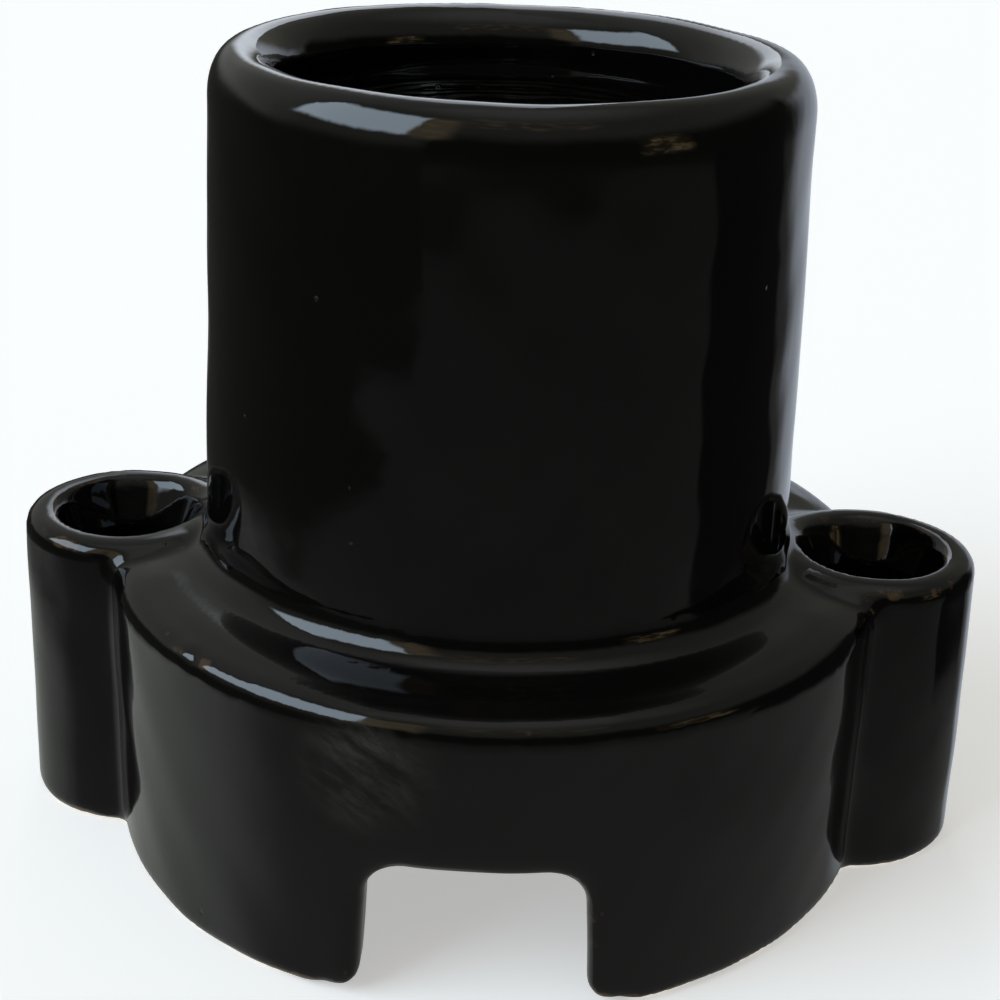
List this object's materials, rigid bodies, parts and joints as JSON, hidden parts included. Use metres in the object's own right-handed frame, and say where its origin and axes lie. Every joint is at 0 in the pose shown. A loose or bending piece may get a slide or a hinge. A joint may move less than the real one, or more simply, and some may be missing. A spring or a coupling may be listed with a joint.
{
  "type": "porcelain lampholder",
  "caption": "Black-glazed porcelain lampholder body with a flared barrel, screw lugs and a cable notch, holding a plated screw shell, a sprung centre contact and clamp terminals.",
  "frame": {"origin": "on the mounting face, on the barrel's axis: the middle of the bottom of the bounding box", "axes": "+Z along the barrel's axis from the mounting face to the mouth, X through the two screw lugs, -Y towards the cable notch"},
  "size_m": [0.073, 0.0576, 0.0593],
  "materials": {
    "black_glaze": "gloss",
    "shell_nickel": "satin",
    "terminal_brass": "satin",
    "phosphor_bronze": "satin",
    "button_nickel": "satin",
    "zinc_plated_steel": "satin",
    "vulcanised_fibre": "matte"
  },
  "bodies": {
    "holder": {"porcelain_body": "black_glaze", "screw_shell": "shell_nickel", "insulating_disc": "vulcanised_fibre", "shell_screw_1": "zinc_plated_steel", "shell_screw_2": "zinc_plated_steel", "shell_screw_3": "zinc_plated_steel", "shell_washer_1": "zinc_plated_steel", "shell_washer_2": "zinc_plated_steel", "shell_washer_3": "zinc_plated_steel", "shell_nut_2": "zinc_plated_steel", "shell_nut_3": "zinc_plated_steel", "centre_contact": "phosphor_bronze", "centre_screw": "zinc_plated_steel", "centre_washer": "zinc_plated_steel", "live_terminal": "terminal_brass", "neutral_terminal": "terminal_brass"},
    "button": {"contact_button": "button_nickel"},
    "live_clamp": {"live_clamp_plate": "terminal_brass", "live_clamp_washer": "zinc_plated_steel"},
    "live_screw": {"live_clamp_screw": "zinc_plated_steel"},
    "neutral_clamp": {"neutral_clamp_plate": "terminal_brass", "neutral_clamp_washer": "zinc_plated_steel"},
    "neutral_screw": {"neutral_clamp_screw": "zinc_plated_steel"}
  },
  "joints": [
    {"name": "contact_press", "type": "slide", "parent": "holder", "child": "button", "axis": [0, 0, -1], "range_m": [0, 0.0012], "stiffness_N_per_m": 1500, "springref_m": -0.0008, "deforming": ["centre_contact"]},
    {"name": "live_clamp_travel", "type": "slide", "parent": "holder", "child": "live_clamp", "axis": [0, 0, -1], "range_m": [0, 0.002]},
    {"name": "live_screw_turn", "type": "hinge", "parent": "live_clamp", "child": "live_screw", "pos_m": [0.0094, 0, 0.0056], "axis": [0, 0, -1], "range_deg": [0, 1200]},
    {"name": "neutral_clamp_travel", "type": "slide", "parent": "holder", "child": "neutral_clamp", "axis": [0, 0, -1], "range_m": [0, 0.002]},
    {"name": "neutral_screw_turn", "type": "hinge", "parent": "neutral_clamp", "child": "neutral_screw", "pos_m": [-0.0093, -0.0094, 0.0056], "axis": [0, 0, -1], "range_deg": [0, 1200]}
  ],
  "couplings": [
    {"joint": "live_screw_turn", "follows": "live_clamp_travel", "rad_per_m": 10472},
    {"joint": "neutral_screw_turn", "follows": "neutral_clamp_travel", "rad_per_m": 10472}
  ]
}
